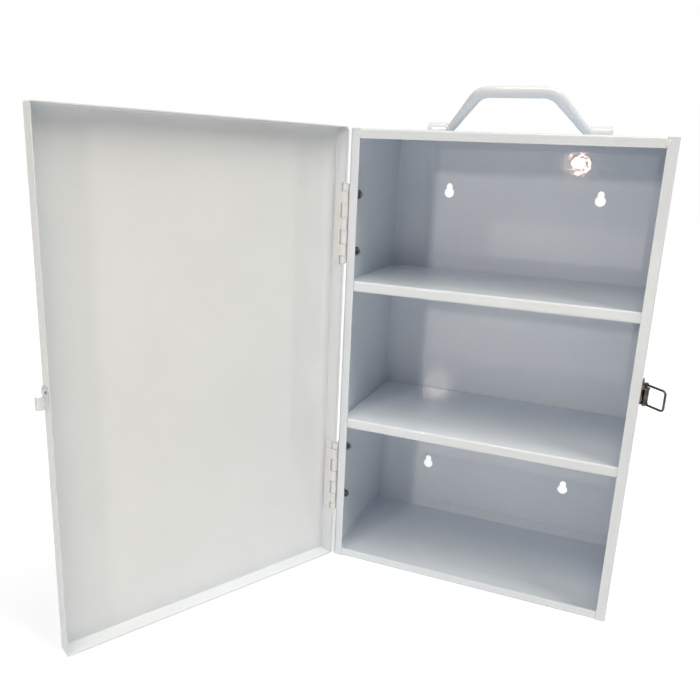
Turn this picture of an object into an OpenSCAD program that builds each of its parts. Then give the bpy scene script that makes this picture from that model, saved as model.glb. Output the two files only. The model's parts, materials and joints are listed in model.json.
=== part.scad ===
// Lockable medicine cabinet: a sheet-steel case with two fixed shelves, a flanged
// door on two butt hinges, a carrying bail on top and a wire draw latch on the right.
// Millimetres, +Z up, front faces -Y, origin at the middle of the underside of the case.
// The door stands open and the handle leans forward, as the cabinet is seen.

/* [Case] */
// Outer width of the case
case_w = 261; // [200:1:360]
// Outer height of the case
case_h = 412; // [330:1:560]
// Outer depth of the case, without the door
case_d = 140; // [100:1:220]
// Thickness of the sheet steel
sheet = 0.9; // [0.7:0.1:1.2]
// Width of the front lip round the opening
lip_w = 8.3; // [6:0.1:12]
// Height of the flanges of the top and bottom pans
flange_h = 11; // [9:0.5:13]
// Outer radius of the folds
fold_r = 1.8; // [1.4:0.1:2.4]
// Gap between the lip of a pan and the side lips
lip_gap = 0.3; // [0.2:0.05:0.5]

/* [Shelves] */
// Height of the lower shelf's face above the underside
lower_shelf_z = 146; // [120:1:170]
// Distance of the upper shelf's face below the top
upper_shelf_drop = 133; // [112:1:150]
// Height of a shelf's front edge
shelf_edge = 9.6; // [7:0.1:14]
// Depth of the fold turned in under the front edge
shelf_return = 7; // [5:0.5:12]
// Gap between a shelf's front edge and the side lips
shelf_gap = 0.3; // [0.2:0.05:0.5]

/* [Wall fixing] */
// Distance between the keyholes across the back
keyhole_x = 148.5; // [100:0.5:170]
// Distance between the keyholes up the back
keyhole_z = 302.4; // [200:0.2:305]
// Radius of the round entry of a keyhole
keyhole_r = 5; // [4:0.1:6]
// Radius of the narrow neck of a keyhole
keyhole_neck_r = 3.1; // [2.5:0.1:3.5]
// Rise from the middle of the entry to the middle of the neck
keyhole_rise = 6.4; // [5:0.1:8]

/* [Door] */
// How far the door stands open, from closed
door_angle = 118.5; // [0:0.5:180]
// Depth of the door from its skin to its rim
door_d = 14.6; // [12:0.1:18]
// Gap between the door's rim and the case when closed
door_gap = 0.6; // [0.4:0.1:1.5]
// How far the door's free edge stops short of the case's side
door_inset = 1.5; // [0.5:0.1:3]
// How far the door stops short of the case's top and bottom
door_trim = 0.5; // [0.2:0.1:2]
// How much higher than the middle of the case the door hangs
door_lift = 1.5; // [0:0.1:2]
// Radius of the door's four corners
door_corner_r = 1.2; // [1:0.1:1.6]

/* [Hinges] */
// Height of the lower hinge's middle above the underside
lower_hinge_z = 85.5; // [70:0.5:100]
// Distance of the upper hinge's middle below the top
upper_hinge_drop = 82; // [72:0.5:89]
// Length of a hinge
hinge_h = 70; // [60:1:76]
// Thickness of a hinge leaf
leaf_t = 1.2; // [0.9:0.1:1.4]
// Radius of the hinge pin
hinge_pin_r = 1.2; // [1:0.05:1.4]
// Radial clearance of the pin in its knuckles
pin_play = 0.05; // [0.03:0.01:0.1]
// Width of the leaf on the case, from the pin
case_leaf_w = 26; // [24:0.5:32]
// Width of the leaf on the door, from the pin
door_leaf_w = 10.8; // [8:0.2:12]
// Length of each end knuckle
end_knuckle = 6.5; // [5:0.25:8]
// Length of each inner knuckle of the case leaf
mid_knuckle = 12.2; // [10:0.1:13]
// Gap between neighbouring knuckles
knuckle_gap = 0.3; // [0.2:0.05:0.5]
// Distance of the pin in front of the case
pin_forward = 1.7; // [1.5:0.1:2.5]

/* [Hinge screws] */
// Distance of the screws behind the front of the case
screw_back = 17; // [15:0.5:19]
// Distance between the two screws of one hinge
screw_pitch = 51; // [40:0.5:54]
// Radius of a screw
screw_r = 1.9; // [1.5:0.05:2]
// Radius of a screw head
screw_head_r = 3.7; // [3:0.1:4]
// Height of a screw head
screw_head_h = 1.9; // [1.4:0.1:2.2]
// Width of a nut across its flats
nut_w = 7; // [6:0.1:8]
// Height of a nut
nut_h = 3.1; // [2.4:0.1:3.4]
// Length of thread that stands out of a nut
thread_end = 1.6; // [1:0.1:2.5]
// Radius of a washer
washer_r = 4.4; // [4:0.1:4.8]
// Thickness of a washer
washer_t = 0.8; // [0.5:0.1:1]

/* [Handle] */
// Diameter of the handle's rod
rod_d = 8.4; // [7:0.1:10]
// Distance between the inner ends of the two brackets
handle_span = 125; // [110:1:140]
// Length of the straight grip between its bends
grip_w = 62.5; // [52:0.5:72]
// Height of the grip above the pivots when upright
handle_rise = 34.5; // [30:0.5:45]
// Radius of the rod's bends at the grip
bend_r = 18; // [12:0.5:20]
// Radius of the rod's bends at the pivots
foot_bend_r = 5; // [5:0.1:6]
// How far the handle leans forward from upright
handle_lean = 33.5; // [0:0.5:80]
// Distance of the handle's pivots behind the middle of the case
handle_y = -3.5; // [-12:0.5:12]
// Length of a bracket along the pivot
bracket_w = 17.5; // [14:0.5:22]
// Thickness of a bracket's strap
strap_t = 1.2; // [0.8:0.1:1.6]
// Length of a bracket's welded foot
strap_foot = 6; // [5:0.5:9]
// Clearance between the rod and its bracket
rod_play = 0.1; // [0.05:0.01:0.1]
// Gap between the rod and the top of the case
rod_gap = 0.3; // [0.2:0.05:0.5]

/* [Latch] */
// Height of the latch's middle above the underside
latch_z = 210; // [180:0.5:240]
// Width of the latch's base plate
latch_w = 14; // [12:0.5:18]
// Thickness of the latch's plates
latch_t = 1; // [0.8:0.1:1.2]
// Distance of the base plate's front end behind the front of the case
latch_back = 2.2; // [2:0.1:4]
// Length of the base plate
latch_len = 46; // [42:1:60]
// Distance of the lever's pivot behind the front of the case
pivot_back = 6.8; // [6:0.1:8]
// Height of the lever's pivot over the side of the case
pivot_out = 3.8; // [3.6:0.1:4.4]
// Radius of the lever's pivot pin
pivot_r = 1.2; // [1:0.05:1.3]
// Radial clearance of the latch's pins
latch_play = 0.05; // [0.03:0.01:0.1]
// Distance from the lever's pivot to the bail's pin
throw = 4.4; // [4.2:0.1:5]
// Diameter of the bail's wire and of its pin
wire_d = 1.8; // [1.4:0.1:1.9]
// Length of the bail from its pin to its crossbar
bail_len = 20; // [19:0.5:21]
// How far the bail stands out from its hooked position
bail_angle = 45; // [0:1:150]
// Play between the bail's arms and the ears
arm_gap = 0.4; // [0.3:0.05:0.6]
// Radius of the latch's rivets
rivet_r = 1.5; // [1.2:0.1:1.6]
// Height of the rivet heads under the lever
rivet_head = 0.6; // [0.4:0.1:0.8]
// Height of the lever's finger lift over its plate
lift_h = 1.6; // [1:0.1:2.5]

/* [Keeper] */
// Height of the keeper's hook
hook_h = 9.6; // [7:0.2:10]
// Distance of the hook's middle below the middle of the latch
hook_drop = 0.8; // [0:0.1:0.8]
// Clearance round the crossbar inside the hook
hook_gap = 0.4; // [0.3:0.05:0.6]
// Thickness of the keeper's plate
keeper_t = 1; // [0.8:0.1:1.2]
// Length of the keeper's plate above the hook
keeper_tail = 7; // [5:0.5:12]

/* [Hidden] */
$fn = 48;
cut = 1;                                  // overshoot of a cutting tool
lap = 0.5;                                // reach of one shape into the next
turn_gap = 0.3;                           // gap round what turns
white = [0.86, 0.86, 0.85];
nickel = [0.62, 0.61, 0.58];
dark_nickel = [0.2, 0.18, 0.16];

left = -case_w / 2;
right = case_w / 2;
front = -case_d / 2;
back = case_d / 2;
inner_w = case_w - 2 * sheet;
inner_fold_r = fold_r - sheet;
upper_shelf_z = case_h - upper_shelf_drop;
upper_hinge_z = case_h - upper_hinge_drop;

barrel_r = hinge_pin_r + pin_play + leaf_t;
pin_x = left - barrel_r;
pin_y = front - pin_forward;
clear_r = barrel_r + turn_gap;
door_leaf_len = (hinge_h - 2 * end_knuckle - 2 * mid_knuckle) / 3;
knuckle_ends = [0, end_knuckle, end_knuckle + door_leaf_len,
    end_knuckle + door_leaf_len + mid_knuckle,
    hinge_h - end_knuckle - door_leaf_len - mid_knuckle,
    hinge_h - end_knuckle - door_leaf_len, hinge_h - end_knuckle, hinge_h];
case_knuckles = [0, 2, 4, 6];
door_knuckles = [1, 3, 5];
hinge_heights = [lower_hinge_z, upper_hinge_z];
pin_head = 0.8;                           // height of a hinge pin's head
pin_head_r = barrel_r - 0.4;
pin_head_gap = 0.1;                       // gap between the head and the barrel
notch_h = hinge_h / 2 + pin_head + pin_head_gap + turn_gap;   // half the door's notch
screw_play = 0.05;
screw_rim = 0.6;                          // straight side of a screw head, under its dome
slot_w = 1;
slot_d = 0.9;
door_left = left - leaf_t - sheet;
door_right = right - door_inset;
door_w = door_right - door_left;
door_h = case_h - 2 * door_trim;
door_mid = case_h / 2 + door_lift;

rod_r = rod_d / 2;
rod_z = case_h + rod_gap + rod_r;
foot_clear = 0.2;                         // straight left beside the bracket
foot_x = handle_span / 2 - foot_bend_r / 2 - foot_clear;   // corner between pivot and leg
rod_end_in = 1;                           // how far the rod ends short of its bracket's end
leg_angle = atan2(handle_rise, foot_x - grip_w / 2);
bar_in = 0.3;                             // reach of a straight into its bend
bend_swell = 0.03;                        // swelling of the rod at its bends

base_out = latch_t;
lever_in = base_out + rivet_head + turn_gap;   // underside of the lever's plate
lever_out = lever_in + latch_t;
ear_half = latch_w / 2;
lever_half = ear_half - latch_t - turn_gap;
wire_r = wire_d / 2;
eye_wall = 0.9;                           // wall round a latch pin
eye_r = wire_r + latch_play + eye_wall;
arm_z = ear_half + arm_gap + wire_r;
ear_clear = 0.5;                          // gap between the ears and the bail's pin
ear_r = throw - wire_r - ear_clear;
hub_r = pivot_out - base_out - turn_gap;  // rolled front of the lever
pivot_y = front + pivot_back;
pivot_x = right + pivot_out;
bail_y = pivot_y + throw;
bar_y = bail_y - bail_len;                // crossbar when hooked
rivet_front = 15;                         // from the base plate's front end to a rivet
rivet_rear = 9;                           // from a rivet to the base plate's rear end
rivet_ys = [front + latch_back + rivet_front, front + latch_back + latch_len - rivet_rear];
rivet_hole = rivet_r + 0.1;
rivet_rim = 0.9;                          // how much wider than its shank a rivet's head is
tail_rim = 1.2;                           // the same inside the case
tail_h = 1;
tip_len = 6;                              // narrow end of the lever
plate_corner = 2;                         // corners of the latch's and keeper's plates
bail_corner = 2.6;
bail_head_gap = 0.15;
bail_head_h = 0.5;
bail_head_rim = 0.5;
hook_in = wire_r + hook_gap;
hook_out = hook_in + keeper_t;
keeper_w = 11;
plate_shift = 1;                          // the keeper's plate lies forward of its stem
eye_rise = 1.2;                           // height of the keeper's eye
eye_w = 5.6;
eye_corner = 1.6;
eye_margin = 1.2;                         // plate above and below the eye
eye_strap = 1.1;                          // strap above and below the eye's slot

// Rectangle between two corners.
module span2(x0, x1, y0, y1) {
    translate([x0, y0]) square([x1 - x0, y1 - y0]);
}

// Box between two corners.
module span(x0, x1, y0, y1, z0, z1) {
    translate([x0, y0, z0]) cube([x1 - x0, y1 - y0, z1 - z0]);
}

// Rod along X between two places.
module rod_x(r, x0, x1) {
    translate([x0, 0, 0]) rotate([0, 90, 0]) cylinder(r = r, h = x1 - x0);
}

// Centred rectangle with round corners.
module soft_square(w, d, r) {
    square([w - 2 * r, d], center = true);
    square([w, d - 2 * r], center = true);
    for (x = [-1, 1], y = [-1, 1])
        translate([x * (w / 2 - r), y * (d / 2 - r)]) circle(r);
}

// Outline of a folded pan seen along its fold: round corners at y = 0, open at y = d.
module fold_outline(w, d, r) {
    span2(-w / 2, w / 2, r, d);
    span2(-w / 2 + r, w / 2 - r, 0, d);
    for (x = [-1, 1]) translate([x * (w / 2 - r), r]) circle(r);
}

// Block of a pan: face at y = 0, folds round all four edges of the face.
module pan_block(w, h, d, r) {
    intersection() {
        linear_extrude(h, center = true) fold_outline(w, d, r);
        rotate([90, 0, 90]) linear_extrude(w, center = true)
            mirror([1, 0]) rotate(90) fold_outline(h, d, r);
    }
}

// Sheet pan with flanges on its four sides, standing on its face's plane y = 0.
module sheet_pan(w, h, d) {
    difference() {
        pan_block(w, h, d, fold_r);
        translate([0, sheet, 0])
            pan_block(w - 2 * sheet, h - 2 * sheet, d, inner_fold_r);
    }
}

// Keyhole through the back, round entry below, narrow neck above.
module keyhole() {
    rotate([90, 0, 0]) {
        cylinder(r = keyhole_r, h = 2 * sheet + 2 * cut, center = true);
        translate([0, keyhole_rise, 0])
            cylinder(r = keyhole_neck_r, h = 2 * sheet + 2 * cut, center = true);
        translate([-keyhole_neck_r, 0, -sheet - cut])
            cube([2 * keyhole_neck_r, keyhole_rise, 2 * sheet + 2 * cut]);
    }
}

// Places of the hinge screws on the left side, with X pointing into the case.
module at_screws() {
    for (h = hinge_heights, s = [-1, 1])
        translate([left, front + screw_back, h + s * screw_pitch / 2]) children();
}

// Left side, back and right side in one sheet, with lips folded in at the front.
module case_wrapper() {
    color(white) difference() {
        linear_extrude(case_h) difference() {
            soft_square(case_w, case_d, fold_r);
            soft_square(inner_w, case_d - 2 * sheet, inner_fold_r);
            span2(left + lip_w, right - lip_w, front - cut, front + 2 * fold_r);
        }
        for (x = [-1, 1], z = [-1, 1])
            translate([x * keyhole_x / 2, back, case_h / 2 + z * keyhole_z / 2]) keyhole();
        at_screws() rod_x(screw_r + screw_play, -cut, sheet + cut);
        for (y = rivet_ys)
            translate([right, y, latch_z]) rod_x(rivet_hole, -sheet - cut, cut);
    }
}

// Plan of the room inside the wrapper, with corners clear of its folds.
module inside_plan() {
    soft_square(inner_w, case_d - 2 * sheet, fold_r);
}

// End pan of the case with its face down; its front flange is the case's lip.
module end_pan() {
    tongue = case_w / 2 - lip_w - lip_gap;
    intersection() {
        translate([0, -sheet / 2, 0]) rotate([90, 0, 0])
            sheet_pan(inner_w, case_d - sheet, flange_h);
        union() {
            linear_extrude(flange_h) inside_plan();
            span(-tongue, tongue, front, 0, 0, lip_w);
        }
    }
}

module bottom_pan() {
    color(white) end_pan();
}

module top_pan() {
    color(white) translate([0, 0, case_h]) mirror([0, 0, 1]) end_pan();
}

// Shelf with its face at z = 0: flanges down at the sides and back, a box edge in front.
module shelf() {
    shelf_front = front + sheet + shelf_gap;
    shelf_back = back - sheet;
    color(white) intersection() {
        translate([0, 0, -shelf_edge]) linear_extrude(shelf_edge) inside_plan();
        union() {
            mirror([0, 0, 1]) difference() {
                translate([0, (shelf_front + shelf_back) / 2, 0]) rotate([90, 0, 0])
                    sheet_pan(inner_w, shelf_back - shelf_front, shelf_edge);
                span(left, right, shelf_front - cut, shelf_front + shelf_return, -cut,
                    shelf_edge + cut);
            }
            translate([0, shelf_front, -shelf_edge / 2]) rotate([90, 0, 90])
                linear_extrude(inner_w, center = true) mirror([1, 0]) rotate(90)
                    difference() {
                        fold_outline(shelf_edge, shelf_return, fold_r);
                        translate([0, sheet])
                            fold_outline(shelf_edge - 2 * sheet, shelf_return, inner_fold_r);
                    }
        }
    }
}

module upper_shelf() {
    translate([0, 0, upper_shelf_z]) shelf();
}

module lower_shelf() {
    translate([0, 0, lower_shelf_z]) shelf();
}

// Turns what is drawn on the closed door to where the door stands.
module on_door() {
    translate([pin_x, pin_y, 0]) rotate([0, 0, -door_angle])
        translate([-pin_x, -pin_y, 0]) children();
}

// Door: one pan with flanges on four sides, notched round the hinge barrels.
module door_pan() {
    color(white) on_door() difference() {
        intersection() {
            translate([(door_left + door_right) / 2, front - door_gap - door_d, door_mid])
                sheet_pan(door_w, door_h, door_d);
            translate([(door_left + door_right) / 2, front, door_mid]) rotate([90, 0, 0])
                linear_extrude(3 * door_d, center = true)
                    soft_square(door_w, door_h, door_corner_r);
        }
        for (h = hinge_heights)
            span(door_left - cut, door_left + 2 * sheet, pin_y - clear_r, front,
                h - notch_h, h + notch_h);
    }
}

// Keeper on the door's free edge: a plate, a rolled hook for the crossbar and an eye.
module keeper() {
    hook_mid = latch_z - hook_drop;
    plate_out = door_right + keeper_t;
    stem_in = bar_y + hook_in;
    plate_y = stem_in - plate_shift;
    eye_mid = hook_mid + hook_h / 2 + keeper_tail / 2;
    eye_h = keeper_tail - 2 * eye_margin;
    slot_half = eye_h / 2 - eye_strap;
    color(white) on_door() difference() {
        union() {
            translate([door_right + keeper_t / 2, plate_y, hook_mid + keeper_tail / 2])
                rotate([0, 90, 0]) linear_extrude(keeper_t, center = true)
                    soft_square(hook_h + keeper_tail, keeper_w, plate_corner);
            span(plate_out - keeper_t / 2, pivot_x, stem_in, stem_in + keeper_t,
                hook_mid - hook_h / 2, hook_mid + hook_h / 2);
            translate([pivot_x, bar_y, hook_mid]) linear_extrude(hook_h, center = true)
                difference() {
                    circle(hook_out);
                    circle(hook_in);
                    span2(-2 * hook_out, 0, -2 * hook_out, 2 * hook_out);
                    rotate(-50) span2(-2 * hook_out, 2 * hook_out, -2 * hook_out, 0);
                }
            translate([plate_out, plate_y, eye_mid]) rotate([0, 90, 0])
                linear_extrude(eye_rise) soft_square(eye_h, eye_w, eye_corner);
        }
        translate([plate_out, plate_y, eye_mid]) rotate([90, 0, 0])
            linear_extrude(keeper_w + cut, center = true)
                span2(-keeper_t / 2, keeper_t / 2, -slot_half, slot_half);
    }
}

// One leaf of a hinge with its pin at the origin; the leaf lies towards +Y.
module hinge_leaf(width, own, other) {
    difference() {
        union() {
            span(barrel_r - leaf_t, barrel_r, 0, width, -hinge_h / 2, hinge_h / 2);
            for (i = own) translate([0, 0, knuckle_ends[i] - hinge_h / 2])
                cylinder(r = barrel_r, h = knuckle_ends[i + 1] - knuckle_ends[i]);
        }
        for (i = other)
            span(-clear_r, barrel_r + cut, -clear_r, clear_r,
                knuckle_ends[i] - hinge_h / 2 - (i > 0 ? knuckle_gap : cut),
                knuckle_ends[i + 1] - hinge_h / 2 + (i < 6 ? knuckle_gap : cut));
        cylinder(r = hinge_pin_r + pin_play, h = hinge_h + 2 * cut, center = true);
    }
}

// Leaf on the case's left side, bored for its two screws.
module hinge_case_leaf(height) {
    color(white) difference() {
        translate([pin_x, pin_y, height])
            hinge_leaf(case_leaf_w + pin_forward, case_knuckles, door_knuckles);
        for (s = [-1, 1])
            translate([left, front + screw_back, height + s * screw_pitch / 2])
                rod_x(screw_r + screw_play, -leaf_t - cut, cut);
    }
}

// Leaf inside the door's hinge flange.
module hinge_door_leaf(height) {
    color(white) on_door() translate([pin_x, pin_y, height]) mirror([0, 1, 0])
        hinge_leaf(door_leaf_w, door_knuckles, case_knuckles);
}

// Hinge pin with a low head at each end of the barrel.
module hinge_pin(height) {
    color(white) translate([pin_x, pin_y, height]) {
        cylinder(r = hinge_pin_r, h = hinge_h + pin_head, center = true);
        for (s = [-1, 1])
            translate([0, 0, s * (hinge_h / 2 + pin_head_gap + pin_head / 2)])
                cylinder(r = pin_head_r, h = pin_head, center = true);
    }
}

module upper_hinge_case_leaf() { hinge_case_leaf(upper_hinge_z); }
module lower_hinge_case_leaf() { hinge_case_leaf(lower_hinge_z); }
module upper_hinge_door_leaf() { hinge_door_leaf(upper_hinge_z); }
module lower_hinge_door_leaf() { hinge_door_leaf(lower_hinge_z); }
module upper_hinge_pin() { hinge_pin(upper_hinge_z); }
module lower_hinge_pin() { hinge_pin(lower_hinge_z); }

// Slotted round head of a screw, standing out along -X from the leaf.
module screw_head() {
    dome_h = screw_head_h - screw_rim;
    dome_r = (screw_head_r * screw_head_r + dome_h * dome_h) / (2 * dome_h);
    translate([-leaf_t, 0, 0]) rotate([0, -90, 0]) difference() {
        rotate_extrude() intersection() {
            translate([0, screw_head_h - dome_r]) circle(dome_r);
            square([screw_head_r, screw_head_h]);
        }
        span(-screw_head_r, screw_head_r, -slot_w / 2, slot_w / 2,
            screw_head_h - slot_d, screw_head_h + cut);
    }
}

// Screws from outside through leaf, side, washer and nut.
module hinge_screws() {
    color(nickel) at_screws() {
        screw_head();
        rod_x(screw_r, -leaf_t - lap, sheet + washer_t + nut_h + thread_end);
    }
}

module hinge_washers() {
    color(nickel) at_screws() difference() {
        rod_x(washer_r, sheet, sheet + washer_t);
        rod_x(screw_r + screw_play, sheet - cut, sheet + washer_t + cut);
    }
}

// Hexagon nuts, chamfered towards the inside of the case.
module hinge_nuts() {
    face_r = nut_w / 2 + 0.1;
    color(nickel) at_screws() difference() {
        translate([sheet + washer_t, 0, 0]) rotate([0, 90, 0]) intersection() {
            cylinder(d = nut_w / cos(30), h = nut_h, $fn = 6);
            cylinder(r1 = face_r + nut_h / tan(30), r2 = face_r, h = nut_h);
        }
        rod_x(screw_r + screw_play, sheet, sheet + washer_t + nut_h + cut);
    }
}

// Round bar from one point to another in the handle's plane, running into its bends.
module bar(from, to) {
    way = to - from;
    translate([from[0], 0, from[1]]) rotate([0, atan2(way[0], way[1]), 0])
        translate([0, 0, -bar_in]) cylinder(r = rod_r, h = norm(way) + 2 * bar_in);
}

// Bend of the bar: centre and first angle in the handle's plane.
module bend(centre, r, first, turn) {
    translate([centre[0], 0, centre[1]]) rotate([90, -first, 0])
        rotate_extrude(angle = turn) translate([r, 0]) circle(rod_r + bend_swell);
}

// Side of the handle: pivot end, foot bend, leg and grip bend.
module handle_side() {
    foot_cut = foot_bend_r * tan(leg_angle / 2);
    grip_cut = bend_r * tan(leg_angle / 2);
    leg_way = [-cos(leg_angle), sin(leg_angle)];
    foot_end = [foot_x, 0] + leg_way * foot_cut;
    leg_end = [grip_w / 2, handle_rise] - leg_way * grip_cut;
    bar([foot_x + foot_cut, 0], [handle_span / 2 + bracket_w - rod_end_in, 0]);
    bend([foot_x + foot_cut, foot_bend_r], foot_bend_r, 270 - leg_angle, leg_angle);
    bar(foot_end, leg_end);
    bend([grip_w / 2 - grip_cut, handle_rise - bend_r], bend_r, 90 - leg_angle, leg_angle);
}

// Carrying handle, turned about its pivots to where it leans.
module handle() {
    grip_end = grip_w / 2 - bend_r * tan(leg_angle / 2);
    color(white) translate([0, handle_y, rod_z]) rotate([handle_lean, 0, 0]) {
        handle_side();
        mirror([1, 0, 0]) handle_side();
        bar([-grip_end, handle_rise], [grip_end, handle_rise]);
    }
}

// Half-round strap over the rod with a foot in front and behind.
module handle_bracket(side) {
    arch_in = rod_r + rod_play;
    arch_out = arch_in + strap_t;
    color(white) translate([side * (handle_span + bracket_w) / 2, handle_y, case_h])
        rotate([90, 0, 90]) linear_extrude(bracket_w, center = true) difference() {
            union() {
                translate([0, rod_gap + rod_r]) circle(arch_out);
                span2(-arch_out, arch_out, 0, rod_gap + rod_r);
                span2(-arch_out - strap_foot, arch_out + strap_foot, 0, strap_t);
            }
            translate([0, rod_gap + rod_r]) circle(arch_in);
            span2(-arch_in, arch_in, -cut, rod_gap + rod_r);
            span2(-2 * arch_out, 2 * arch_out, -2 * arch_out, 0);
        }
}

module left_handle_bracket() { handle_bracket(-1); }
module right_handle_bracket() { handle_bracket(1); }

// Base plate of the latch with an ear above and below the lever.
module latch_base() {
    color(dark_nickel) difference() {
        union() {
            translate([right, front + latch_back + latch_len / 2, latch_z])
                rotate([0, 90, 0]) linear_extrude(base_out)
                    soft_square(latch_w, latch_len, plate_corner);
            for (s = [-1, 1])
                translate([0, 0, latch_z + s * (ear_half - latch_t / 2)])
                    linear_extrude(latch_t, center = true) {
                        translate([pivot_x, pivot_y]) circle(ear_r);
                        span2(right, pivot_x, pivot_y - ear_r, pivot_y + ear_r);
                    }
        }
        translate([pivot_x, pivot_y, latch_z])
            cylinder(r = pivot_r + latch_play, h = latch_w + 2 * cut, center = true);
        for (y = rivet_ys)
            translate([right, y, latch_z]) rod_x(rivet_hole, -cut, base_out + cut);
    }
}

// Rivets that hold the base plate to the side of the case.
module latch_rivets() {
    color(nickel) for (y = rivet_ys) translate([right, y, latch_z]) {
        rod_x(rivet_r + rivet_rim, base_out, base_out + rivet_head);
        rod_x(rivet_r, -sheet - tail_h / 2, base_out + rivet_head / 2);
        rod_x(rivet_r + tail_rim, -sheet - tail_h, -sheet);
    }
}

// Pivot pin of the lever, nearly flush with the ears so that the bail passes it.
module latch_pivot_pin() {
    color(dark_nickel) translate([pivot_x, pivot_y, latch_z])
        cylinder(r = pivot_r, h = latch_w + arm_gap / 2, center = true);
}

// Lever: rolled front round the pivot, boss for the bail's pin, flat plate, raised tip.
module latch_lever() {
    tip_y = front + latch_back + latch_len;
    color(dark_nickel) difference() {
        union() {
            translate([0, 0, latch_z]) linear_extrude(2 * lever_half, center = true) {
                translate([pivot_x, pivot_y]) circle(hub_r);
                translate([pivot_x, bail_y]) circle(eye_r);
                span2(pivot_x - eye_r, pivot_x + eye_r, pivot_y, bail_y);
                span2(right + lever_in, right + lever_out, bail_y, tip_y - tip_len);
                span2(right + lever_in, pivot_x, pivot_y, bail_y);
            }
            translate([0, 0, latch_z]) linear_extrude(lever_half, center = true) {
                span2(right + lever_in, right + lever_out, tip_y - tip_len - lap,
                    tip_y - lift_h);
                translate([right + lever_out + lift_h - latch_t, tip_y - lift_h])
                    difference() {
                        circle(lift_h);
                        circle(lift_h - latch_t);
                        span2(-2 * lift_h, 2 * lift_h, -2 * lift_h, 0);
                        span2(0, 2 * lift_h, -2 * lift_h, 2 * lift_h);
                    }
            }
        }
        translate([pivot_x, pivot_y, latch_z])
            cylinder(r = pivot_r + latch_play, h = latch_w, center = true);
        translate([pivot_x, bail_y, latch_z])
            cylinder(r = wire_r + latch_play, h = latch_w, center = true);
    }
}

// Pin that carries the bail's eyes through the lever's boss.
module latch_bail_pin() {
    color(dark_nickel) translate([pivot_x, bail_y, latch_z]) {
        head_z = arm_z + wire_r + bail_head_gap + bail_head_h / 2;
        cylinder(r = wire_r, h = 2 * head_z, center = true);
        for (s = [-1, 1]) translate([0, 0, s * head_z])
            cylinder(r = wire_r + bail_head_rim, h = bail_head_h, center = true);
    }
}

// Wire bail: two arms with eyes, round corners and a crossbar.
module latch_bail() {
    color(dark_nickel) translate([pivot_x, bail_y, latch_z]) rotate([0, 0, bail_angle])
        difference() {
            union() {
                for (s = [-1, 1]) translate([0, 0, s * arm_z]) {
                    cylinder(r = eye_r, h = wire_d, center = true);
                    rotate([90, 0, 0]) translate([0, 0, eye_r - lap])
                        cylinder(r = wire_r, h = bail_len - bail_corner - eye_r + lap);
                }
                for (s = [-1, 1])
                    translate([0, bail_corner - bail_len, s * (arm_z - bail_corner)])
                        rotate([0, 90, 0]) rotate([0, 0, s > 0 ? 180 : 270])
                            rotate_extrude(angle = 90) translate([bail_corner, 0])
                                circle(wire_r);
                translate([0, -bail_len, 0])
                    cylinder(r = wire_r, h = 2 * (arm_z - bail_corner), center = true);
            }
            cylinder(r = wire_r + latch_play, h = 4 * arm_z, center = true);
        }
}

case_wrapper();
top_pan();
bottom_pan();
upper_shelf();
lower_shelf();
door_pan();
keeper();
upper_hinge_case_leaf();
lower_hinge_case_leaf();
upper_hinge_door_leaf();
lower_hinge_door_leaf();
upper_hinge_pin();
lower_hinge_pin();
hinge_screws();
hinge_washers();
hinge_nuts();
handle();
left_handle_bracket();
right_handle_bracket();
latch_base();
latch_rivets();
latch_pivot_pin();
latch_lever();
latch_bail_pin();
latch_bail();
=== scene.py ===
import json
import math

import bmesh
import bpy
from mathutils import Matrix, Vector


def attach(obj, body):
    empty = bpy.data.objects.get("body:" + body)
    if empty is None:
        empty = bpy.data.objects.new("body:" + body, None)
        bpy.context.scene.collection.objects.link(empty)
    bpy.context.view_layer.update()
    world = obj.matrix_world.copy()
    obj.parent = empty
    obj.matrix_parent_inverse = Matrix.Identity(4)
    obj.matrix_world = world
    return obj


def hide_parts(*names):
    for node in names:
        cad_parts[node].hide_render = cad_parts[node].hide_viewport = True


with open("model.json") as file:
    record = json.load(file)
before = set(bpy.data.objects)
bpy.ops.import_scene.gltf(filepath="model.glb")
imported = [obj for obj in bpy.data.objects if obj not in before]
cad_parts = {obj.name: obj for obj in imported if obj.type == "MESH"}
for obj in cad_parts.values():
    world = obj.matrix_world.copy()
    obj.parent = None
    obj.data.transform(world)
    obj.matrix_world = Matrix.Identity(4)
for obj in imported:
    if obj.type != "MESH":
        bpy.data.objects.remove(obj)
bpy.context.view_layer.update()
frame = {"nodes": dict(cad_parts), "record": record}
NODES = frame["nodes"]
scene = bpy.context.scene
MM = 0.001


# ---------------------------------------------------------------- materials

# Most of a noise's values lie between these.
NOISE_LOW, NOISE_HIGH = 0.3, 0.7


def new_node(tree, kind, inputs=None, **settings):
    """Node of a tree, with the values of its sockets and its settings."""
    node = tree.nodes.new(kind)
    for key, value in settings.items():
        setattr(node, key, value)
    for key, value in (inputs or {}).items():
        node.inputs[key].default_value = value
    return node


def map_range(tree, source, from_min, from_max, to_min, to_max):
    """Maps one range of values to another, clamped at both ends."""
    node = new_node(tree, "ShaderNodeMapRange", {"From Min": from_min, "From Max": from_max,
                                                 "To Min": to_min, "To Max": to_max})
    tree.links.new(source, node.inputs["Value"])
    return node.outputs["Result"]


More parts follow.
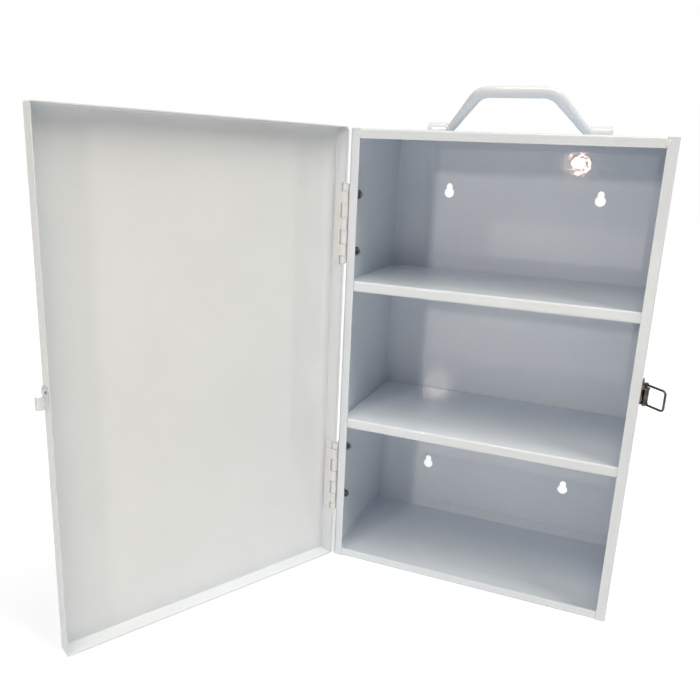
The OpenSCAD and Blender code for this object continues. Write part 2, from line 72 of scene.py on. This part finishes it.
class Shader:
    """A material with a Principled shader and short helpers for its nodes."""

    def __init__(self, name, colour, roughness, metallic=0.0):
        self.material = bpy.data.materials.new(name)
        self.material.use_nodes = True
        self.tree = self.material.node_tree
        self.bsdf = self.tree.nodes["Principled BSDF"]
        self.bsdf.inputs["Base Color"].default_value = (*colour, 1)
        self.bsdf.inputs["Roughness"].default_value = roughness
        self.bsdf.inputs["Metallic"].default_value = metallic
        self.place = new_node(self.tree, "ShaderNodeTexCoord").outputs["Object"]

    def link(self, source, target):
        self.tree.links.new(source, target)

    def noise(self, scale, detail, roughness, stretch=None):
        """Noise in the piece's own space, stretched where its pattern has a direction."""
        node = new_node(self.tree, "ShaderNodeTexNoise",
                        {"Scale": scale, "Detail": detail, "Roughness": roughness})
        place = self.place
        if stretch:
            mapping = new_node(self.tree, "ShaderNodeMapping", {"Scale": stretch})
            self.link(place, mapping.inputs["Vector"])
            place = mapping.outputs["Vector"]
        self.link(place, node.inputs["Vector"])
        return node.outputs["Fac"]

    def spread(self, noise, low, high):
        """Turns a noise into values from low to high."""
        return map_range(self.tree, noise, NOISE_LOW, NOISE_HIGH, low, high)

    def ramp(self, source, *stops):
        """Colour by a value, between two stops of (position, colour)."""
        node = new_node(self.tree, "ShaderNodeValToRGB")
        for element, (position, colour) in zip(node.color_ramp.elements, stops):
            element.position = position
            element.color = (*colour, 1)
        self.link(source, node.inputs["Fac"])
        return node.outputs["Color"]

    def bump(self, height, distance, normal):
        node = new_node(self.tree, "ShaderNodeBump", {"Distance": distance})
        self.link(height, node.inputs["Height"])
        self.link(normal, node.inputs["Normal"])
        return node.outputs["Normal"]

    def soft_edges(self, radius):
        return new_node(self.tree, "ShaderNodeBevel", {"Radius": radius},
                        samples=4).outputs["Normal"]

    def finish(self, normal, colour, roughness):
        """Links what was worked out to the shader and gives the material."""
        for key, source in (("Normal", normal), ("Base Color", colour),
                            ("Roughness", roughness)):
            self.link(source, self.bsdf.inputs[key])
        return self.material


def powder_paint(name, colour, peel=1.0):
    """Gloss white powder coat: orange peel, fine grain, faint cloudiness of colour and gloss."""
    s = Shader(name, colour, roughness=0.08)
    dark = [c * 0.965 for c in colour]
    clouds = s.noise(scale=14, detail=3, roughness=0.55)
    tint = s.ramp(clouds, (NOISE_LOW, dark), (NOISE_HIGH, colour))
    gloss = s.spread(s.noise(scale=22, detail=4, roughness=0.6), low=0.03, high=0.06)
    edge = s.soft_edges(radius=0.35 * MM)
    wavy = s.bump(s.noise(scale=190, detail=1.5, roughness=0.45),
                  distance=0.05 * MM * peel, normal=edge)
    normal = s.bump(s.noise(scale=900, detail=1.0, roughness=0.5),
                    distance=0.004 * MM * peel, normal=wavy)
    return s.finish(normal, tint, gloss)


def plated_steel(name, dark, painted_highlight, roughness):
    """Plated metal: painted reflections in its colour (dark patches and painted highlights),
    uneven gloss, and rolling lines.
    """
    s = Shader(name, dark, roughness, metallic=1.0)
    painted_reflection_patches = s.noise(scale=260, detail=4, roughness=0.6)
    # The colour goes from dark to bright by patches: painted dark reflections and painted
    # highlights of the plated metal, not its own colour.
    tint = s.ramp(painted_reflection_patches, (0.32, dark), (NOISE_HIGH, painted_highlight))
    gloss = s.spread(s.noise(scale=900, detail=3, roughness=0.6),
                     low=roughness * 0.8, high=roughness * 1.35)
    edge = s.soft_edges(radius=0.18 * MM)
    lines = s.noise(scale=500, detail=2, roughness=0.5, stretch=(1, 1, 9))
    return s.finish(s.bump(lines, distance=0.02 * MM, normal=edge), tint, gloss)


# The colours are linear. The paint is written slightly blue, for lamps that are warm: a painted
# cool tint that gives the shade inside the case its blue-grey, on a coat that is white.
LOOKS = {
    "case_paint": powder_paint("case_paint_look", (0.68, 0.755, 0.86)),
    "door_paint": powder_paint("door_paint_look", (0.70, 0.755, 0.83)),
    "hinge_paint": powder_paint("hinge_paint_look", (0.70, 0.735, 0.78), peel=0.7),
    # Screw steel: near black with bright patches, a painted dark reflection with painted
    # highlights on the nuts and screw ends.
    "screw_steel": plated_steel("screw_steel_look", dark=(0.02, 0.019, 0.018),
                                painted_highlight=(0.42, 0.41, 0.39), roughness=0.2),
    # Latch steel: near-black brown, a painted reflection of dark surroundings in the plated
    # latch.
    "latch_steel": plated_steel("latch_steel_look", dark=(0.05, 0.04, 0.032),
                                painted_highlight=(0.13, 0.11, 0.09), roughness=0.3),
}
SLOTS = {part["node"]: part["material_slot"] for part in frame["record"]["subparts"]}

for node_name, slot in SLOTS.items():
    for holder in NODES[node_name].material_slots:
        holder.material = LOOKS[slot]


def ride_with(piece, node, body, *replaced):
    """Gives a new piece its body, and the material slot and look of a CAD node."""
    piece.data.materials.append(LOOKS[SLOTS[node]])
    scene.collection.objects.link(piece)
    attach(piece, body)
    if replaced:
        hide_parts(*replaced)


# ---------------------------------------------------------------- swept and turned pieces

SIDES = 28                                # of a round section


def skinned(name, *tubes, smooth=True):
    """Object of one or more tubes, each a skin through equal rings of points, ends filled."""
    mesh = bmesh.new()
    for tube in tubes:
        rings = [[mesh.verts.new(point) for point in ring] for ring in tube]
        count = len(rings[0])
        for low, high in zip(rings, rings[1:]):
            for i in range(count):
                j = (i + 1) % count
                mesh.faces.new((low[i], low[j], high[j], high[i]))
        mesh.faces.new(rings[0][::-1])
        mesh.faces.new(rings[-1])
    bmesh.ops.recalc_face_normals(mesh, faces=mesh.faces)
    for face in mesh.faces:
        face.smooth = smooth
    data = bpy.data.meshes.new(name)
    mesh.to_mesh(data)
    mesh.free()
    return bpy.data.objects.new(name, data)


def turned(name, profile, at, axis, sides=SIDES):
    """Object turned about an axis through a point, from (radius, height) pairs in mm."""
    turn = Vector(axis).to_track_quat("Z", "Y").to_matrix()
    rings = []
    for radius, height in profile:
        ring = []
        for k in range(sides):
            angle = 2 * math.pi * k / sides
            point = Vector((radius * math.cos(angle), radius * math.sin(angle), height))
            ring.append((turn @ point + Vector(at)) * MM)
        rings.append(ring)
    return skinned(name, rings)


# ---------------------------------------------------------------- door's rim

HINGE_AXIS = Vector((-132.95, -71.7, 0)) * MM
OPENING = Matrix.Rotation(math.radians(-118.5), 4, "Z")       # closed door to door at rest
RIM_OUTSIDE, RIM_INSIDE = -132.6, -131.7                      # x on the closed door, mm
RIM_ROOT, RIM_EDGE = -71.0, -68.6                             # y
RIM_SPANS = ((4.2, 49.3), (121.7, 293.8), (366.2, 410.8))     # z, clear of the hinges
RIM_STEPS = 8


def opened(x, y, z):
    """Where a point of the closed door, in mm, stands on the open one."""
    return OPENING @ (Vector((x, y, z)) * MM - HINGE_AXIS) + HINGE_AXIS


def door_rim():
    """Rolled rim of the hinge flange, between and beyond the hinges' notches."""
    middle, radius = (RIM_OUTSIDE + RIM_INSIDE) / 2, (RIM_INSIDE - RIM_OUTSIDE) / 2
    outline = [(RIM_OUTSIDE, RIM_ROOT), (RIM_INSIDE, RIM_ROOT)]
    for step in range(RIM_STEPS + 1):
        angle = math.pi * step / RIM_STEPS
        outline.append((middle + radius * math.cos(angle),
                        RIM_EDGE - radius + radius * math.sin(angle)))
    strips = [[[opened(x, y, z) for x, y in outline] for z in span] for span in RIM_SPANS]
    return skinned("door_rim", *strips, smooth=False)


ride_with(door_rim(), "door_pan", "door")


# ---------------------------------------------------------------- handle

# Half the bar's thickness in its own plane by the distance from its middle, in mm.
BAR_THICKNESS = ((0, 5.2), (30, 5.2), (54, 4.1), (60.5, 3.5), (62.6, 4.1), (80, 4.1))
BAR_ACROSS = 4.2                          # the most across that plane: it lies flat on the top
BAR_STEP = 2.5
GRIP_RISE = 36.2
BAR_CORNERS = ((-79, 0), (-59.8, 0), (-31.25, GRIP_RISE),
               (31.25, GRIP_RISE), (59.8, 0), (79, 0))
BEND_RADII = (5, 18, 18, 5)
BEND_STEP = 1.5
BEND_FEWEST = 4                           # steps
HANDLE_AXIS = Vector((0, -3.5, 416.5))
LEAN = Matrix.Rotation(math.radians(33.5), 3, "X")


def filleted(corners, radii):
    """Points along a line of corners rounded with the given radii, in the handle's plane."""
    points = [Vector(corners[0])]
    for i, radius in enumerate(radii, 1):
        before, here, after = (Vector(corners[k]) for k in (i - 1, i, i + 1))
        back = (before - here).normalized()
        on = (after - here).normalized()
        half = back.angle(on) / 2
        reach = radius / math.tan(half)
        centre = here + (back + on).normalized() * radius / math.sin(half)
        first = here + back * reach - centre
        turn = math.pi - 2 * half
        side = 1 if back.x * on.y - back.y * on.x < 0 else -1
        pieces = max(BEND_FEWEST, round(turn * radius / BEND_STEP))
        for k in range(pieces + 1):
            angle = side * turn * k / pieces
            cos, sin = math.cos(angle), math.sin(angle)
            points.append(centre + Vector((first.x * cos - first.y * sin,
                                           first.x * sin + first.y * cos)))
    points.append(Vector(corners[-1]))
    return points


def bar_radius(distance):
    """Half the bar's thickness, with smooth steps: full grip, slim feet."""
    for (near, thick), (far, thin) in zip(BAR_THICKNESS, BAR_THICKNESS[1:]):
        if distance <= far:
            share = (distance - near) / (far - near)
            share = share * share * (3 - 2 * share)
            return thick + (thin - thick) * share
    return BAR_THICKNESS[-1][1]


def handle_bar():
    """Bent bar: pivots in the brackets, legs that swell towards a thicker grip."""
    bent = filleted(BAR_CORNERS, BEND_RADII)
    path = []
    for a, b in zip(bent, bent[1:]):
        pieces = max(1, math.ceil((b - a).length / BAR_STEP))
        path += [a.lerp(b, k / pieces) for k in range(pieces)]
    path.append(bent[-1])
    rings = []
    for i, point in enumerate(path):
        ahead = (path[min(i + 1, len(path) - 1)] - path[max(i - 1, 0)]).normalized()
        outward = Vector((-ahead.y, ahead.x))
        radius = bar_radius(abs(point.x))
        ring = []
        for k in range(SIDES):
            angle = 2 * math.pi * k / SIDES
            flat = point + outward * (radius * math.cos(angle))
            place = Vector((flat.x, min(radius, BAR_ACROSS) * math.sin(angle), flat.y))
            ring.append((LEAN @ place + HANDLE_AXIS) * MM)
        rings.append(ring)
    return skinned("handle_bar", rings)


ride_with(handle_bar(), "handle", "handle", "handle")


# ---------------------------------------------------------------- welds and threads

SINK = 0.1                                # how far these start inside their sheet or screw
FORWARD, INWARD = (0, -1, 0), (1, 0, 0)
DOME_ANGLES = (0, 20, 40, 60, 75, 86)
LIP_Y, LIP_WELD_X, LIP_WELD_Z = -70.0, 122.6, 407.4
FLANGE_Y, SPOT_WELD_Z = 68.2, 6.0
SPOT_WELD_X = (-62.0, -48.0, 48.0, 62.0)
SCREW_END_X, SCREW_Y = -125.65, -53.0
SCREW_Z = (60.0, 111.0, 304.5, 355.5)
THREAD_PITCH = 0.7
THREAD_ROOT, THREAD_CREST = 1.92, 2.1
THREAD_TURNS = 2
THREAD_SIDES = 20


def dome(radius, height):
    """Profile of a low dome for turned()."""
    steps = [math.radians(a) for a in DOME_ANGLES]
    return [(radius, -SINK)] + [(radius * math.cos(a), height * math.sin(a)) for a in steps]


def screw_end():
    """Profile of the thread that shows beyond a nut, with its rounded end."""
    profile = [(1.8, -SINK)]
    for k in range(THREAD_TURNS):
        profile += [(THREAD_ROOT, k * THREAD_PITCH), (THREAD_CREST, (k + 0.5) * THREAD_PITCH)]
    return profile + [(THREAD_ROOT, THREAD_TURNS * THREAD_PITCH), (1.4, 1.72), (0.4, 1.74)]


for side, x in (("left", -LIP_WELD_X), ("right", LIP_WELD_X)):
    weld = turned("corner_weld_" + side, dome(2.3, 0.32), (x, LIP_Y, LIP_WELD_Z), FORWARD)
    ride_with(weld, "case_wrapper", "case")

for number, x in enumerate(SPOT_WELD_X):
    weld = turned("spot_weld_%d" % number, dome(1.5, 0.22), (x, FLANGE_Y, SPOT_WELD_Z), FORWARD)
    ride_with(weld, "bottom_pan", "case")

for number, z in enumerate(SCREW_Z):
    thread = turned("thread_%d" % number, screw_end(), (SCREW_END_X, SCREW_Y, z), INWARD,
                    THREAD_SIDES)
    ride_with(thread, "hinge_screws", "case")


# ---------------------------------------------------------------- floor and background

FLOOR_HALF = 6.0
FLOOR_Z = -0.0002
FLOOR_COLOUR = (0.9, 0.9, 0.9, 1)         # as the object sees it
SHADE_COLOUR = (0.45, 0.5, 0.6, 1)        # as the camera sees it, over its glow
GLOW_NEAR, GLOW_FAR = 0.5, 2.2            # distances from the middle
GLOW_LOW, GLOW_HIGH = 0.74, 1.02          # strengths there
WHITE = (1, 1, 1, 1)


def seen_directly(tree):
    """1 for rays of the camera and of mirrors and glass, 0 for the light on the object."""
    path = new_node(tree, "ShaderNodeLightPath")
    total = path.outputs["Is Camera Ray"]
    for kind in ("Is Glossy Ray", "Is Transmission Ray"):
        both = new_node(tree, "ShaderNodeMath", operation="MAXIMUM")
        tree.links.new(total, both.inputs[0])
        tree.links.new(path.outputs[kind], both.inputs[1])
        total = both.outputs[0]
    return total


def floor_look():
    """Plain pale floor for the light. Seen directly, a white one that keeps the shadow."""
    material = bpy.data.materials.new("floor_look")
    material.use_nodes = True
    tree = material.node_tree
    tree.nodes.clear()
    plain = new_node(tree, "ShaderNodeBsdfDiffuse", {"Color": FLOOR_COLOUR})
    shade = new_node(tree, "ShaderNodeBsdfDiffuse", {"Color": SHADE_COLOUR})
    glow = new_node(tree, "ShaderNodeEmission", {"Color": WHITE})
    distance = new_node(tree, "ShaderNodeVectorMath", operation="LENGTH")
    place = new_node(tree, "ShaderNodeTexCoord").outputs["Object"]
    tree.links.new(place, distance.inputs[0])
    strength = map_range(tree, distance.outputs["Value"],
                         GLOW_NEAR, GLOW_FAR, GLOW_LOW, GLOW_HIGH)
    tree.links.new(strength, glow.inputs["Strength"])
    both = new_node(tree, "ShaderNodeAddShader")
    mix = new_node(tree, "ShaderNodeMixShader")
    out = new_node(tree, "ShaderNodeOutputMaterial")
    for source, target in ((shade.outputs[0], both.inputs[0]),
                           (glow.outputs[0], both.inputs[1]),
                           (seen_directly(tree), mix.inputs[0]),
                           (plain.outputs[0], mix.inputs[1]),
                           (both.outputs[0], mix.inputs[2]),
                           (mix.outputs[0], out.inputs["Surface"])):
        tree.links.new(source, target)
    return material


def make_floor():
    mesh = bpy.data.meshes.new("floor")
    corners = [(x * FLOOR_HALF, y * FLOOR_HALF, FLOOR_Z)
               for x, y in ((-1, -1), (1, -1), (1, 1), (-1, 1))]
    mesh.from_pydata(corners, [], [(0, 1, 2, 3)])
    mesh.materials.append(floor_look())
    floor = bpy.data.objects.new("floor", mesh)
    scene.collection.objects.link(floor)


def make_world():
    """White where it is seen directly. It puts no light on the object."""
    world = bpy.data.worlds.new("studio")
    scene.world = world
    world.use_nodes = True
    tree = world.node_tree
    tree.nodes.clear()
    white = new_node(tree, "ShaderNodeBackground", {"Color": WHITE})
    out = new_node(tree, "ShaderNodeOutputWorld")
    tree.links.new(seen_directly(tree), white.inputs["Strength"])
    tree.links.new(white.outputs[0], out.inputs["Surface"])


# ---------------------------------------------------------------- camera

FOCAL_PX = 707.545
FRAME_PX = 700
SENSOR = 36.0
CLIP_NEAR, CLIP_FAR = 0.01, 50
EYE = Vector((0.1061545, -0.6640712, 0.3845823))
PAN, TILT, ROLL = (math.radians(a) for a in (21.0545, 14.9645, 2.5804))


def make_camera():
    """The photograph's camera, fitted to points of the case and the door."""
    ahead = Vector((-math.sin(PAN) * math.cos(TILT), math.cos(PAN) * math.cos(TILT),
                    -math.sin(TILT)))
    level = Vector((math.cos(PAN), math.sin(PAN), 0))
    above = level.cross(ahead)
    right = math.cos(ROLL) * level + math.sin(ROLL) * above
    up = -math.sin(ROLL) * level + math.cos(ROLL) * above
    data = bpy.data.cameras.new("camera")
    data.sensor_fit = "HORIZONTAL"
    data.sensor_width = SENSOR
    data.lens = SENSOR * FOCAL_PX / FRAME_PX
    data.clip_start, data.clip_end = CLIP_NEAR, CLIP_FAR
    camera = bpy.data.objects.new("camera", data)
    turn = Matrix((right, up, -ahead)).transposed().to_4x4()
    camera.matrix_world = Matrix.Translation(EYE) @ turn
    scene.collection.objects.link(camera)
    scene.camera = camera


# ---------------------------------------------------------------- lamps

MIDDLE = (0, 0, 0.2)
# Name, shape, place, aim, size, watts and colour.
LAMPS = (
    ("top_right", "RECTANGLE", (0.9, -0.3, 2.2), MIDDLE, (0.8, 1.6), 39, (1.0, 0.93, 0.79)),
    ("top_front", "RECTANGLE", (0.0, -1.1, 2.1), MIDDLE, (0.8, 0.8), 15, (1.0, 0.90, 0.75)),
    ("front", "RECTANGLE", (0.2, -2.0, 1.4), MIDDLE, (1.6, 0.8), 4, (1.0, 0.86, 0.70)),
    ("front_left", "RECTANGLE", (-1.2, -1.8, 1.4), MIDDLE, (1.0, 0.8), 2, (1.0, 0.86, 0.72)),
    ("floor_bounce", "RECTANGLE", (0.3, -1.1, 0.04), MIDDLE, (1.2, 0.4), 1.5,
     (1.0, 0.92, 0.84)),
    # The two reflections on the back wall.
    ("white_spot", "DISK", (-0.52, -1.79, 0.735), (-0.07, 0.07, 0.157), (0.11, 0.11), 6,
     (1.0, 0.88, 0.76)),
    ("warm_spot", "DISK", (-0.10, -1.93, 0.41), (0.03, 0.07, 0.36), (0.05, 0.05), 0.6,
     (1.0, 0.64, 0.48)),
)


def make_lamp(name, shape, at, towards, size, power, colour):
    data = bpy.data.lights.new(name, "AREA")
    data.shape = shape
    data.size, data.size_y = size
    data.energy = power
    data.color = colour
    lamp = bpy.data.objects.new(name, data)
    lamp.location = at
    lamp.rotation_euler = (Vector(towards) - Vector(at)).to_track_quat("-Z", "Y").to_euler()
    scene.collection.objects.link(lamp)


make_camera()
make_floor()
make_world()
for lamp_values in LAMPS:
    make_lamp(*lamp_values)

scene.view_settings.view_transform = "Standard"
